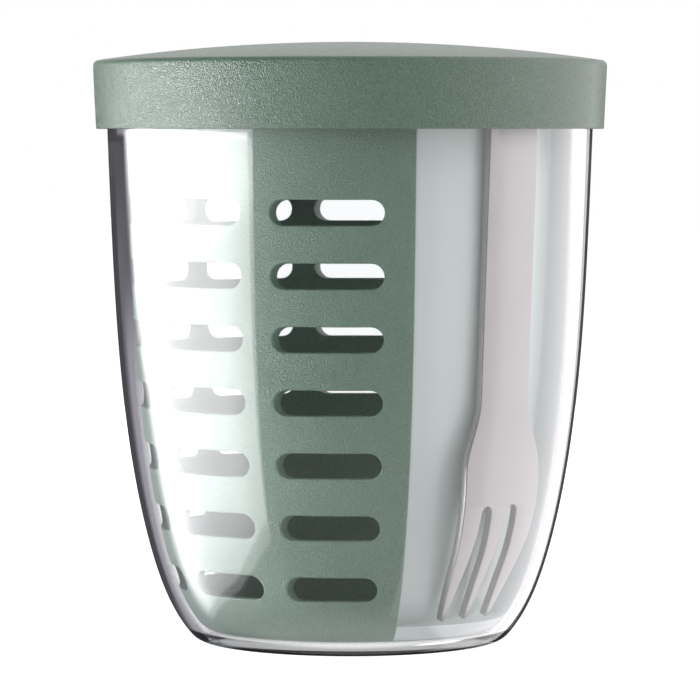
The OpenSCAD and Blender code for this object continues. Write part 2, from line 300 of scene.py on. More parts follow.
def pot_profile():
    """Half section of the pot, from the axis under the base round to the axis on its floor."""
    outer = form(OUTER)
    neck_rows = [
        LUG_Z, LUG_Z + RAMP, RIDGE_Z, RIDGE_Z + RAMP,
        RIDGE_Z + RIDGE_H / 2 - RAMP, RIDGE_Z + RIDGE_H / 2, RIDGE_Z + RIDGE_H - RAMP, RIDGE_Z + RIDGE_H,
    ]
    below = outer[-2]
    shoulder = rounded([(*below, 0), (POT_R, SIDE_H, 0.5), (NECK_R, SIDE_H, 0.25), (NECK_R, LUG_Z, 0)])
    inner = form(POT_INNER)
    mouth = rounded([
        (NECK_R, RIDGE_Z + RIDGE_H, 0),
        (NECK_R, RIM_Z, 0.35),
        (COUNTERBORE_R, RIM_Z, 0.25),
        (COUNTERBORE_R, LEDGE_Z, 0.15),
        (MOUTH_R, LEDGE_Z, 0.15),
        (MOUTH_R, SIDE_H + MOUTH_RISE, 0.6),
        (*inner[-1], 0.6),
        (*inner[-2], 0),
    ])
    floor_z = corner_arc(POT_INNER)[1] - corner_arc(POT_INNER)[2]
    return (
        [(0, 0)] + outer[:-2] + shoulder[:-1]
        + [(NECK_R, z) for z in neck_rows[:-1]]
        + mouth + inner[-3::-1] + [(0, floor_z)]
    )


pot_shell = piece("pot_shell", turned(pot_profile(), pot_swell), "pot", "pot")

# %% [markdown]
# ## The strainer
#
# The strainer is a basket with rows of long slots. Boolean cuts would leave ragged, unshaded faces on
# the curved wall, so the wall is laid out in cells: each slot has a cell of the wall round it, rings
# of points lead from the cell's edge to the slot's rounded rim, through the wall and out to the edge
# of the same cell on the inner face. Neighbouring cells share their edge points, so the whole basket
# welds into one closed skin. The mould's two side cores are pulled out to the left and right of the
# pocket, so most slots pass through the wall at a slant.

# %% A slot's cell in the curved wall
SLOT_ROWS = 7
SLOT_STEP = 36.0
SLOT_COLUMNS = 8
SLOT_HALF = 14.0
SLOT_DROP = 26.4
SLOT_PITCH = 12.6
SLOT_H = 5.1
SLOT_RIM = 0.3
RIM_HOLD = 0.3
MAX_SLANT = 32.0
ALONG = 12
ROUND_END = 10
RIM_STEPS = 4


def wall_point(degrees, z, through, depth=0.0):
    """Point of the strainer's wall: through is 0 on its outer face and 1 on its inner face."""
    outer = form_radius(BASKET_OUTER, z)
    r = outer + (form_radius(BASKET_INNER, z) - outer) * through - depth
    angle = math.radians(degrees)
    return r * math.cos(angle), r * math.sin(angle), z


def slot_ring(length, height, grow, along=ALONG, round_end=ROUND_END):
    """Points of a slot with round ends, grown on all sides, counted from its lower left end."""
    half = (length - height) / 2
    radius = height / 2 + grow
    ring = []
    for side in (1, -1):
        ring += [(side * half * (2 * i / along - 1), -side * radius) for i in range(along)]
        for i in range(round_end):
            angle = math.pi * i / round_end - math.pi / 2
            ring.append((side * (half + radius * math.cos(angle)), side * radius * math.sin(angle)))
    return ring


def cell_ring(left, right, low, high):
    """Points of a cell's edge, counted as a slot's ring is."""
    width = right - left
    height = high - low
    return (
        [(left + width * i / ALONG, low) for i in range(ALONG)]
        + [(right, low + height * i / ROUND_END) for i in range(ROUND_END)]
        + [(right - width * i / ALONG, high) for i in range(ALONG)]
        + [(left, high - height * i / ROUND_END) for i in range(ROUND_END)]
    )


def rim_profile(wall):
    """Growth and depth of a slot's rings from the outer face, round both rims, to the inner face."""
    turns = [math.pi / 2 * k / RIM_STEPS for k in range(RIM_STEPS + 1)]
    outer = [(SLOT_RIM * (1 - math.sin(a)), SLOT_RIM * (1 - math.cos(a))) for a in turns]
    return outer + [(grow, wall - depth) for grow, depth in reversed(outer)]


def add_rings(bm, rings):
    """Skin a list of closed rings of points in millimetres."""
    made = [[bm.verts.new(Vector(p) * MM) for p in ring] for ring in rings]
    for ring, following in zip(made, made[1:]):
        skin(bm, ring, following)


def add_slot_cell(bm, middle, row_z):
    """One slot and the cell of the wall round it, from the outer face through to the inner face."""
    lean = side_lean(row_z)
    pull = 90 if middle < 180 else 270
    slant = math.tan(math.radians(max(-MAX_SLANT, min(MAX_SLANT, pull - middle))))
    length = 2 * form_radius(BASKET_OUTER, row_z) * math.sin(math.radians(SLOT_HALF))
    height = SLOT_H * math.cos(lean)
    edge = cell_ring(
        middle - SLOT_STEP / 2, middle + SLOT_STEP / 2, row_z - SLOT_PITCH / 2, row_z + SLOT_PITCH / 2
    )

    def placed(grow, through):
        """A slot's ring as angles and heights on the wall, drawn through it along the slant."""
        ring = []
        for x, y in slot_ring(length, height, grow):
            z = row_z + y
            outer = form_radius(BASKET_OUTER, z)
            r = outer + (form_radius(BASKET_INNER, z) - outer) * through
            shifted = x - slant * STRAINER_WALL * through
            ring.append((middle + math.degrees(math.asin(shifted / r)), z))
        return ring

    def face_rings(through):
        """Rings from the cell's edge to just outside the slot's rim."""
        hold = placed(SLOT_RIM + RIM_HOLD * (1 - 0.7 * through), through)
        halfway = [((a + c) / 2, (b + d) / 2) for (a, b), (c, d) in zip(edge, hold)]
        return [[wall_point(a, z, through) for a, z in ring] for ring in (edge, halfway, hold)]

    through_rings = []
    for grow, depth in rim_profile(STRAINER_WALL):
        through = depth / STRAINER_WALL
        through_rings.append([wall_point(a, z, through) for a, z in placed(grow, through)])
    add_rings(bm, face_rings(0) + through_rings + face_rings(1)[::-1])


# %% [markdown]
# The pocket for the fork is a step in the same wall: over about 64 degrees both faces move inwards. Each
# upright column of the wall is described by its angle and its depth on either face, with a small
# fillet at the foot and at the lip of the step, so the pocket needs no cut either.

# %% Columns of the wall, with the pocket's step
POCKET_DEPTH = 5.2
POCKET_HALF = 31.8
POCKET_DROP = 0.8
POCKET_SIDE = math.degrees(math.atan(STRAINER_WALL / (STRAINER_R - POCKET_DEPTH)))
STEP_R = STRAINER_R - POCKET_DEPTH / 2
FILLET_STEPS = 4
FLAT_STEPS = 10


def step_columns(edge, foot_round, lip_round):
    """Angle and depth of one face's columns, from the pocket's middle across its step to the web."""
    columns = []
    for i in range(FILLET_STEPS + 1):
        a = math.pi / 2 * i / FILLET_STEPS
        columns.append((-foot_round * (1 - math.sin(a)), POCKET_DEPTH - foot_round * (1 - math.cos(a))))
    for i in range(FILLET_STEPS + 1):
        a = math.pi / 2 * i / FILLET_STEPS
        columns.append((lip_round * (1 - math.cos(a)), lip_round * (1 - math.sin(a))))
    turned_columns = [(edge + math.degrees(x / STEP_R), depth) for x, depth in columns]
    first = turned_columns[0][0]
    last = turned_columns[-1][0]
    flat = [(first * i / FLAT_STEPS, POCKET_DEPTH) for i in range(FLAT_STEPS)]
    web = [(last + (SLOT_STEP - last) * i / 3, 0.0) for i in (1, 2, 3)]
    return flat + turned_columns + web


outer_half = step_columns(POCKET_HALF, 0.9, 0.6)
inner_half = step_columns(POCKET_HALF + POCKET_SIDE, 1.2, 0.6)
half_columns = list(zip(outer_half, inner_half))
other_half = [((-a, d), (-b, e)) for (a, d), (b, e) in reversed(half_columns[1:])]
pocket_columns = other_half + half_columns
web_angles = [SLOT_STEP + SLOT_STEP * i / ALONG for i in range(1, SLOT_COLUMNS * ALONG)]
all_columns = pocket_columns + [((a, 0.0), (a, 0.0)) for a in web_angles]
print(f"strainer: {len(all_columns)} columns round the wall")

# %% [markdown]
# The rest of the basket follows from those columns: a band over the slots that ends in the flange it
# hangs by, the rounding under the slots with the ledge that the fork's tines rest on, and a flat
# floor with drain slots. The floor is flat, so filling its outline with triangles is enough.

# %% Strainer
UNDER_Z = box_mm("strainer")[0].z
FLOOR_TOP = corner_arc(BASKET_INNER)[1] - corner_arc(BASKET_INNER)[2]
TINE_REST_Z = UNDER_Z + 3.5
FLANGE_LIP = FLANGE_R - STRAINER_R
BAND_STEPS = 14
FLOOR_SLOTS = 8
FLOOR_SLOT_W = 4.0
FLOOR_SLOT_IN = 7.0
FLOOR_SLOT_OUT = 18.0
top_slot_z = RIM_Z - SLOT_DROP
slot_rows = [top_slot_z - SLOT_PITCH * row for row in range(SLOT_ROWS)]
band_z = slot_rows[0] + SLOT_PITCH / 2
foot_z = slot_rows[-1] - SLOT_PITCH / 2


def add_strip(bm, rows, closed):
    """Skin rows of points in millimetres, row by row."""
    made = [[bm.verts.new(Vector(p) * MM) for p in row] for row in rows]
    for row, following in zip(made, made[1:]):
        last = len(row) if closed else len(row) - 1
        for k in range(last):
            n = (k + 1) % len(row)
            bm.faces.new((row[k], row[n], following[n], following[k]))


def face_row(columns, z, face, keep=1.0):
    """Points at one height on the outer (0) or inner (1) face; keep is the share of the pocket's depth."""
    return [wall_point(column[face][0], z, face, column[face][1] * keep) for column in columns]


def polar(degrees, r, z):
    """Point at an angle and a radius."""
    return r * math.cos(math.radians(degrees)), r * math.sin(math.radians(degrees)), z


def add_band_and_flange(bm):
    """From the slots up the outer face, over the flange, and down the inner face."""
    edge = 0.4
    chamfer = 0.15
    heights = [band_z + (LEDGE_Z - edge - band_z) * i / BAND_STEPS for i in range(BAND_STEPS + 1)]
    rows = [face_row(all_columns, z, 0) for z in heights]

    def underside(lip, z_up):
        """A row under the flange, which has no lip across the pocket."""
        row = []
        for (degrees, depth), _ in all_columns:
            r = STRAINER_R - depth + lip * (1 - depth / POCKET_DEPTH)
            row.append(polar(degrees, r, LEDGE_Z + z_up))
        return row

    def outside(inward, z_down):
        """A row of the flange's rounded outer edge."""
        row = []
        for (degrees, depth), _ in all_columns:
            share = depth / POCKET_DEPTH
            r = STRAINER_R - depth + FLANGE_LIP * (1 - share) - inward
            row.append(polar(degrees, r, RIM_Z - POCKET_DROP * share - z_down))
        return row

    def inside(outward, z_down):
        """A row of the rounded edge at the mouth."""
        row = []
        for _, (degrees, depth) in all_columns:
            z = RIM_Z - POCKET_DROP * depth / POCKET_DEPTH - z_down
            row.append(polar(degrees, STRAINER_IN_R - depth + outward, z))
        return row

    rows += [underside(0, 0), underside(FLANGE_LIP - chamfer, 0), underside(FLANGE_LIP, chamfer)]
    turns = [math.pi / 2 * k / RIM_STEPS for k in range(RIM_STEPS + 1)]
    rows += [outside(edge * (1 - math.cos(a)), edge * (1 - math.sin(a))) for a in turns]
    rows += [inside(edge * (1 - math.sin(a)), edge * (1 - math.cos(a))) for a in turns]
    rows += [face_row(all_columns, z, 1) for z in reversed(heights)]
    add_strip(bm, rows, closed=True)


def add_foot(bm):
    """From the slots down both faces to the floor, with the tine rest across the pocket."""
    rest = [
        (foot_z, 1), (TINE_REST_Z + 0.9, 1), (TINE_REST_Z + 0.4, 1), (TINE_REST_Z + 0.12, 0.97),
        (TINE_REST_Z, 0.88), (TINE_REST_Z, 0.12), (TINE_REST_Z - 0.06, 0.03), (TINE_REST_Z - 0.2, 0),
    ]
    rows = [face_row(all_columns, z, 0, keep) for z, keep in rest]
    rows += [face_row(all_columns, z, 0, 0) for z in (TINE_REST_Z - 0.5, TINE_REST_Z - 0.8)]
    for r, z in reversed(corner(BASKET_OUTER, 8)):
        rows.append([polar(column[0][0], r, z) for column in all_columns])
    add_strip(bm, rows, closed=True)

    inner_rows = [face_row(all_columns, foot_z - step, 1) for step in (0, 0.5, 1.0)]
    for r, z in reversed(corner(BASKET_INNER, 8)):
        inner_rows.append([polar(column[1][0], r - column[1][1], z) for column in all_columns])
    add_strip(bm, inner_rows, closed=True)
    return rows[-1], inner_rows[-1]


def add_floor(bm, under, top):
    """The flat floor between its outer rings, with radial drain slots."""
    length = FLOOR_SLOT_OUT - FLOOR_SLOT_IN
    middle = (FLOOR_SLOT_OUT + FLOOR_SLOT_IN) / 2
    loops = {UNDER_Z: [under], FLOOR_TOP: [top]}
    for i in range(FLOOR_SLOTS):
        angle = 360 / FLOOR_SLOTS * (i + 0.5)
        rings = []
        for grow, depth in rim_profile(STRAINER_WALL):
            points = []
            for x, y in slot_ring(length, FLOOR_SLOT_W, grow):
                turn = angle + math.degrees(math.atan2(y, middle + x))
                points.append(polar(turn, math.hypot(middle + x, y), UNDER_Z + depth))
            rings.append(points)
        add_rings(bm, rings)
        loops[UNDER_Z].append(rings[0])
        loops[FLOOR_TOP].append(rings[-1])
    for z, rings in loops.items():
        edges = []
        for ring in rings:
            verts = [bm.verts.new(Vector(p) * MM) for p in ring]
            edges += [bm.edges.new((verts[k - 1], verts[k])) for k in range(len(verts))]
        bmesh.ops.triangle_fill(bm, use_beauty=True, edges=edges, normal=(0, 0, 1))


def strainer_mesh():
    """The whole basket as one closed skin."""
    bm = bmesh.new()
    for column in range(SLOT_COLUMNS):
        for row_z in slot_rows:
            add_slot_cell(bm, SLOT_STEP * (column + 1.5), row_z)
    steps = SLOT_ROWS * ROUND_END
    heights = [foot_z + (band_z - foot_z) * i / steps for i in range(steps + 1)]
    for face in (0, 1):
        add_strip(bm, [face_row(pocket_columns, z, face) for z in heights], closed=False)
    add_band_and_flange(bm)
    under, top = add_foot(bm)
    add_floor(bm, under, top)
    return bm


strainer_basket = piece("strainer_basket", strainer_mesh(), "strainer", "strainer")

# %% [markdown]
# ## The fork
#
# The fork is stamped from 1.5 mm sheet and bent once, so it is made the same way here: a flat blank
# with its outline and tine gaps is given thickness and broken edges, cut into short strips so that it
# can bend, and then laid along its bent line.

# %% The fork's flat blank
FORK_T = 1.5
FORK_GAP = 0.35
HANDLE_W = 14.5
HANDLE_ROUND = 1.2
HEAD_W = 22.0
HEAD_H = 30.6
SHOULDER_H = 15.0
TINE_H = 23.7
GAP_W = 2.8
GAP_Y = 3.8
TIP_W = 1.0
TIP_PITCH = 6.8
TIP_ROUND = 0.4
TAPER_POWER = 2.2
EDGE_BREAK = 0.22
TIP_Z = box_mm("fork")[0].z
FORK_TOP_Z = box_mm("fork")[1].z
HEAD_Z = TIP_Z + HEAD_H


def arc(y, z, radius, start, end, steps):
    """Points of an arc between two angles in degrees."""
    turns = [math.radians(start + (end - start) * i / steps) for i in range(steps + 1)]
    return [(y + radius * math.cos(a), z + radius * math.sin(a)) for a in turns]


def tip(y):
    """Rounded end of a tine, from its left to its right corner."""
    half = TIP_W / 2 - TIP_ROUND
    left = arc(y - half, TIP_Z + TIP_ROUND, TIP_ROUND, 180, 270, 4)
    return left + arc(y + half, TIP_Z + TIP_ROUND, TIP_ROUND, 270, 360, 4)


def fork_outline():
    """Outline of the blank from the front, against the clock from its right tip."""
    edge = []
    for i in range(13, -1, -1):
        u = i / 14
        taper = (HEAD_W / 2 - TIP_PITCH - TIP_W / 2) * u ** TAPER_POWER
        edge.append((HEAD_W / 2 - taper, HEAD_Z - HEAD_H * u))
    for i in range(1, 15):
        u = i / 14
        ease = (1 + math.cos(math.pi * u)) / 2
        edge.append((HANDLE_W / 2 + (HEAD_W - HANDLE_W) / 2 * ease, HEAD_Z + SHOULDER_H * u))
    edge += arc(HANDLE_W / 2 - HANDLE_ROUND, FORK_TOP_Z - HANDLE_ROUND, HANDLE_ROUND, 0, 90, 5)
    root_z = TIP_Z + TINE_H - GAP_W / 2
    root = arc(GAP_Y, root_z, GAP_W / 2, 180, 0, 10)
    left_edge = [(-y, z) for y, z in reversed(edge)]
    left_root = [(-y, z) for y, z in reversed(root)]
    return (
        edge + left_edge + tip(-TIP_PITCH) + left_root + tip(0) + root + tip(TIP_PITCH)
    )


print(f"fork blank: {len(fork_outline())} points, {FORK_TOP_Z - TIP_Z:.1f} mm tall as it stands")

# %% [markdown]
# The press bends the blank once. The straight handle lies along the pocket's wall, the straight tines
# end on the ledge at its foot, and an arc joins the two lines. Each point of the blank keeps its
# height and moves out to that line, so the outline stays as it is seen from the front.

# %% The fork's bend
FORK_TOUCH_DROP = 12.0
TIP_STAND = 2.6
BEND_RUN = 9.5
STRIP = 1.2
TINE_LEAN = 25.0
tine_lean = math.radians(TINE_LEAN)
touch_z = SIDE_H - FORK_TOUCH_DROP
fork_lean = side_lean(touch_z)
fork_out = Vector((math.cos(fork_lean), -math.sin(fork_lean)))
fork_up = Vector((math.sin(fork_lean), math.cos(fork_lean)))
pocket_wall = Vector(side_point(BASKET_OUTER, touch_z)) - Vector((POCKET_DEPTH, 0))
touch = pocket_wall + (FORK_GAP + FORK_T) * fork_out
tip_point = Vector((form_radius(BASKET_OUTER, TIP_Z) - POCKET_DEPTH + TIP_STAND, TIP_Z))
tine_out = Vector((math.cos(tine_lean), -math.sin(tine_lean)))
tine_up = Vector((math.sin(tine_lean), math.cos(tine_lean)))
crossing = tip_point + tine_up * ((touch - tip_point).dot(fork_out) / tine_up.dot(fork_out))
bend_point = crossing + fork_up * BEND_RUN
bend_end = crossing - tine_up * BEND_RUN
BEND_R = BEND_RUN / math.tan((tine_lean - fork_lean) / 2)
bend_centre = bend_point - fork_out * BEND_R


def on_fork(y, z, behind):
    """Place of a point of the blank: at height z on the front face, and a distance behind it."""
    if z >= bend_point.y:
        front = bend_point + fork_up * ((z - bend_point.y) / fork_up.y)
        out = fork_out
    elif z <= bend_end.y:
        front = tip_point + tine_up * ((z - TIP_Z) / tine_up.y)
        out = tine_out
    else:
        sine = (bend_centre.y - z) / BEND_R
        out = Vector((math.sqrt(1 - sine * sine), -sine))
        front = bend_centre + out * BEND_R
    place = front - out * behind
    return Vector((place.x, y, min(place.y, FORK_TOP_Z))) * MM


def fork_mesh():
    """Thicken the blank, break its edges, cut it into strips and bend it."""
    bm = bmesh.new()
    front = bm.faces.new([bm.verts.new((0, y, z)) for y, z in fork_outline()])
    swept = bmesh.ops.extrude_face_region(bm, geom=[front])
    back_verts = [item for item in swept["geom"] if isinstance(item, bmesh.types.BMVert)]
    bmesh.ops.translate(bm, verts=back_verts, vec=(-FORK_T, 0, 0))
    bmesh.ops.recalc_face_normals(bm, faces=bm.faces)
    rims = [edge for edge in bm.edges if abs(edge.verts[0].co.x - edge.verts[1].co.x) < AXIS]
    bmesh.ops.bevel(
        bm, geom=rims, offset=EDGE_BREAK, segments=3, profile=0.5, affect="EDGES", clamp_overlap=True
    )
    cuts = int((bend_point.y + STRIP - TIP_Z) / STRIP)
    for i in range(1, cuts + 1):
        whole = bm.verts[:] + bm.edges[:] + bm.faces[:]
        bmesh.ops.bisect_plane(bm, geom=whole, plane_co=(0, 0, TIP_Z + STRIP * i), plane_no=(0, 0, 1))
    for vert in bm.verts:
        vert.co = on_fork(vert.co.y, vert.co.z, -vert.co.x)
    return bm


fork_blank = piece("fork_blank", fork_mesh(), "fork", "strainer")
handle_length = (FORK_TOP_Z - bend_point.y) / fork_up.y
tine_length = (bend_end.y - TIP_Z) / tine_up.y
flat_length = handle_length + BEND_R * (tine_lean - fork_lean) + tine_length
print(f"fork bends at {bend_point.y:.1f} mm over a radius of {BEND_R:.0f} mm")
print(f"fork laid flat: {flat_length:.1f} x {HEAD_W:.1f} x {FORK_T:.1f} mm")

# %% [markdown]
# ## The seal and the lid
#
# The seal is a soft ring stretched on a ring under the lid: its section is rounded, with a shallow
# groove where the rim of the pot presses. It is soft rubber without an edge anywhere, so every corner
# of its section has a radius.

# %% Seal
seal_low, seal_high = box_mm("lid_seal")
SEAL_R = seal_high.x
SEAL_W = 2.5
SEAL_ROUND = 0.5
SEAL_GROOVE = 0.25
seal_in_r = SEAL_R - SEAL_W
seal_mid = seal_in_r + SEAL_W / 2
seal_profile = rounded([
    (seal_in_r, seal_low.z, SEAL_ROUND),
    (seal_mid - 0.5, seal_low.z, 0.2),
    (seal_mid - 0.3, seal_low.z + SEAL_GROOVE, 0.2),
    (seal_mid + 0.3, seal_low.z + SEAL_GROOVE, 0.2),
    (seal_mid + 0.5, seal_low.z, 0.2),
    (SEAL_R, seal_low.z, SEAL_ROUND),
    (SEAL_R, seal_high.z, SEAL_ROUND),
    (seal_in_r, seal_high.z, SEAL_ROUND),
])
seal_ring = piece(
    "seal_ring", turned(seal_profile + seal_profile[:1]), "lid_seal", "lid_seal"
)

# %% [markdown]
# The lid is a low dome that rolls over into a deep, slightly tapering skirt. It is one moulding, so its
# whole section is turned in one piece: dome, rolled edge, skirt, the seat of the seal and the underside.
# Inside the skirt stand the four lugs of the twist lock, which `lid_swell` pushes inwards.

# %% Lid
lid_low, lid_high = box_mm("lid")
LID_R = lid_high.x
SKIRT_Z = lid_low.z
CROWN_Z = lid_high.z
SKIRT_WALL = 2.3
SKIRT_DRAFT = 0.6
SKIRT_ROUND = 0.25
DOME_R = 365.0
DOME_T = 2.2
LID_EDGE = 1.2
SEAL_GAP = 0.2
SEAL_RING_WALL = 1.0
SEAL_RING_H = 1.5
LUG_GAP = 0.35
SKIRT_IN_R = LID_R - SKIRT_WALL
SEAT_Z = seal_high.z
dome_z = CROWN_Z - DOME_R
edge_x = LID_R - LID_EDGE
dome_turn = math.asin(edge_x / (DOME_R - LID_EDGE))
edge_z = dome_z + (DOME_R - LID_EDGE) * math.cos(dome_turn)
seal_ring_r = seal_in_r - SEAL_GAP
seal_ring_in_r = seal_ring_r - SEAL_RING_WALL
under_r = DOME_R - DOME_T
under_turn = math.asin(seal_ring_in_r / under_r)


def lid_swell(r, z, degrees):
    """The lugs stand inwards from the skirt."""
    lug = abs(r - SKIRT_IN_R) < AXIS and LUG_Z < z < LUG_Z + LUG_H and near(degrees, 0, LUG_ARC)
    return -(SKIRT_IN_R - NECK_R - LUG_GAP) if lug else 0


def lid_profile():
    """Half section of the lid, from the crown round to the axis under it."""
    dome = [
        (DOME_R * math.sin(dome_turn * i / 24), dome_z + DOME_R * math.cos(dome_turn * i / 24))
        for i in range(25)
    ]
    roll = arc(edge_x, edge_z, LID_EDGE, 90 - math.degrees(dome_turn), 0, 8)[1:]
    foot_r = LID_R - SKIRT_DRAFT
    skirt = [(LID_R + (foot_r - LID_R) * i / 6, edge_z + (SKIRT_Z - edge_z) * i / 6) for i in range(1, 6)]
    lower = rounded([
        (*skirt[-1], 0),
        (foot_r, SKIRT_Z, SKIRT_ROUND),
        (SKIRT_IN_R, SKIRT_Z, SKIRT_ROUND),
        (SKIRT_IN_R, LUG_Z, 0),
    ])[1:-1]
    lug_rows = [LUG_Z, LUG_Z + RAMP, LUG_Z + LUG_H - RAMP, LUG_Z + LUG_H]
    seat = rounded([
        (SKIRT_IN_R, LUG_Z + LUG_H, 0),
        (SKIRT_IN_R, SEAT_Z, 0.4),
        (seal_ring_r, SEAT_Z, 0.15),
        (seal_ring_r, SEAT_Z - SEAL_RING_H, 0.3),
        (seal_ring_in_r, SEAT_Z - SEAL_RING_H, 0.3),
        (seal_ring_in_r, dome_z + under_r * math.cos(under_turn), 0.4),
        (0, dome_z + under_r, 0),
    ])[1:-1]
    under = [
        (under_r * math.sin(under_turn * i / 12), dome_z + under_r * math.cos(under_turn * i / 12))
        for i in range(11, -1, -1)
    ]
    return dome + roll + skirt + lower + [(SKIRT_IN_R, z) for z in lug_rows] + seat + under


lid_cap = piece("lid_cap", turned(lid_profile(), lid_swell), "lid", "lid")

# %% [markdown]
# ## Writing shaders as arithmetic
#
# A material is a graph of nodes. Wiring each Math node by hand hides what is computed, so one small
# class stands for an output socket: plus, minus and times add the Math node themselves, and `node`
# makes any other kind, with its settings first and then its values or links.

# %% A socket that can be calculated with
class Wire:
    """An output socket of a node tree."""

    def __init__(self, tree, socket=None):
        self.tree = tree
        self.socket = socket

    def node(self, kind, settings=None, sockets=None, out=0):
        """Add a node and return one of its outputs."""
        made = self.tree.nodes.new("ShaderNode" + kind)
        for name, value in (settings or {}).items():
            setattr(made, name, value)
        for key, value in (sockets or {}).items():
            if isinstance(value, Wire):
                self.tree.links.new(value.socket, made.inputs[key])
            else:
                made.inputs[key].default_value = value
        return Wire(self.tree, made.outputs[out] if made.outputs else None)

    def math(self, operation, *values):
        """A Math node on values or links."""
        return self.node("Math", {"operation": operation}, dict(enumerate(values)))

    def mix(self, factor, first, second):
        """A blend of two colours."""
        return self.node("Mix", {"data_type": "RGBA"}, {0: factor, 6: first, 7: second}, out=2)

    def axes(self, vector):
        """The three parts of a vector."""
        parts = self.node("SeparateXYZ", None, {0: vector}).socket.node
        return [Wire(self.tree, output) for output in parts.outputs]

    def ramp(self, low, high):
        """0 below low, 1 above high, smooth between."""
        settings = {"interpolation_type": "SMOOTHSTEP"}
        return self.node("MapRange", settings, {"Value": self, "From Min": low, "From Max": high})

    def window(self, low, high, soft):
        """1 between low and high, with soft edges."""
        starts = self.ramp(low - soft / 2, low + soft / 2)
        ends = self.ramp(high - soft / 2, high + soft / 2)
        return starts * (1 - ends)

    def __add__(self, other):
        return self.math("ADD", self, other)

    __radd__ = __add__

    def __sub__(self, other):
        return self.math("SUBTRACT", self, other)

    def __rsub__(self, other):
        return self.math("SUBTRACT", other, self)

    def __mul__(self, other):
        return self.math("MULTIPLY", self, other)

    __rmul__ = __mul__


def new_material(name):
    """An empty material and the start of its tree."""
    made = bpy.data.materials.new(name)
    made.use_nodes = True
    made.node_tree.nodes.clear()
    return made, Wire(made.node_tree)


def dress(made, *objects):
    """Put a material on pieces."""
    for thing in objects:
        thing.data.materials.clear()
        thing.data.materials.append(made)
    print(f"{made.name}: {len(made.node_tree.nodes)} nodes")


# %% [markdown]
# ## Sage-green moulded plastic
#
# Lid and strainer are dyed plastic from a mould with a spark-eroded surface: fine, irregular pits
# about a third of a millimetre apart that break up the light. That is a height on the surface, so a noise
# drives a Bump node, and the same noise shifts colour and roughness a little: the pits are darkened with
# painted shade, and the worn peaks are smoother. The fork's pocket is polished instead and its colour is
# painted paler, a painted sheen: it is found by its angle round the axis, by its height and by the side
# that its faces look to.

# %% Sage plastic
GRAIN = 0.31
GRAIN_DEPTH = 0.085
# Painted sheen: the pale colour that the pocket's polished walls take in place of a real sheen.
POCKET_PAINTED_SHEEN = (0.69, 0.75, 0.73)


def pocket_mask(tree, place):
    """1 on the walls of the fork's pocket and 0 elsewhere on the strainer."""
    x, y, z = tree.axes(place)
    facing_x, facing_y, _ = tree.axes(tree.node("NewGeometry", out="Normal"))
    angle = tree.math("DEGREES", tree.math("ABSOLUTE", tree.math("ARCTAN2", y, x)))
    outwards = (x * facing_x + y * facing_y) * (1 / (STRAINER_R * MM))
    inside_arc = 1 - angle.ramp(POCKET_HALF + 0.1, POCKET_HALF + 0.5)
    above_flat = z.ramp((UNDER_Z + 0.3) * MM, (UNDER_Z + 0.8) * MM)
    return inside_arc * above_flat * outwards.ramp(-0.35, -0.25)


def sage_plastic(name, dark, light, roughness, has_pocket):
    """Grained, dyed plastic with painted shade in the grain's pits; in the pocket the grain stops and a
    painted sheen pales the colour.
    """
    made, tree = new_material(name)
    place = tree.node("TexCoord", out="Object")
    grain = tree.node(
        "TexNoise", None,
        {"Vector": place, "Scale": 1 / (GRAIN * MM), "Detail": 2.0, "Roughness": 0.6},
    )
    clouds = tree.node("TexNoise", None, {"Vector": place, "Scale": 60.0, "Detail": 2.0})
    pocket = pocket_mask(tree, place) if has_pocket else tree.math("ADD", 0.0, 0.0)
    height = grain.ramp(0.3, 0.7) * (1 - pocket)
    # Painted shade: the colour is darker where the grain is low, in its pits, and a larger noise varies
    # the tone at random.
    colour = tree.mix(height * 0.7 + clouds * 0.3, (*dark, 1), (*light, 1))
    # Painted sheen: the pocket's walls are painted pale.
    colour = tree.mix(pocket, colour, (*POCKET_PAINTED_SHEEN, 1))
    normal = tree.node("Bump", None, {"Height": height, "Strength": 1.0, "Distance": GRAIN_DEPTH * MM})
    shader = tree.node("BsdfPrincipled", None, {
        "Base Color": colour,
        "Roughness": roughness + clouds * 0.06 * (1 - pocket) - pocket * 0.03,
        "IOR": 1.56,
        "Specular IOR Level": 1.0,
        "Normal": normal,
    })
    tree.node("OutputMaterial", None, {"Surface": shader})
    return made


LID_DARK = (0.061, 0.112, 0.076)
LID_LIGHT = (0.123, 0.220, 0.152)
# Painted light: the strainer's sage is set lighter than the lid's, to make up for the dimmer light that
# reaches it inside the pot.
STRAINER_DARK_LIFTED = (0.099, 0.166, 0.120)
STRAINER_LIGHT_LIFTED = (0.186, 0.302, 0.222)
dress(sage_plastic("sage_lid", LID_DARK, LID_LIGHT, 0.19, False), lid_cap)
dress(sage_plastic("sage_strainer", STRAINER_DARK_LIFTED, STRAINER_LIGHT_LIFTED, 0.30, True), strainer_basket)

# %% [markdown]
# ## Clear plastic
#
# The pot is polished clear plastic. A Principled shader with full transmission bends and reflects as
# the real wall does, with a very slight ripple from moulding. Light has to get through it to the
# strainer: real caustics take far too many samples, so shadow rays meet a Transparent shader instead,
# and so do rays that a surface inside the pot has sent out again. Light Path tells them by their
# history: they have left a matt surface, or they were mirrored after crossing the wall's two faces.

# %% Clear pot
PLASTIC_IOR = 1.55


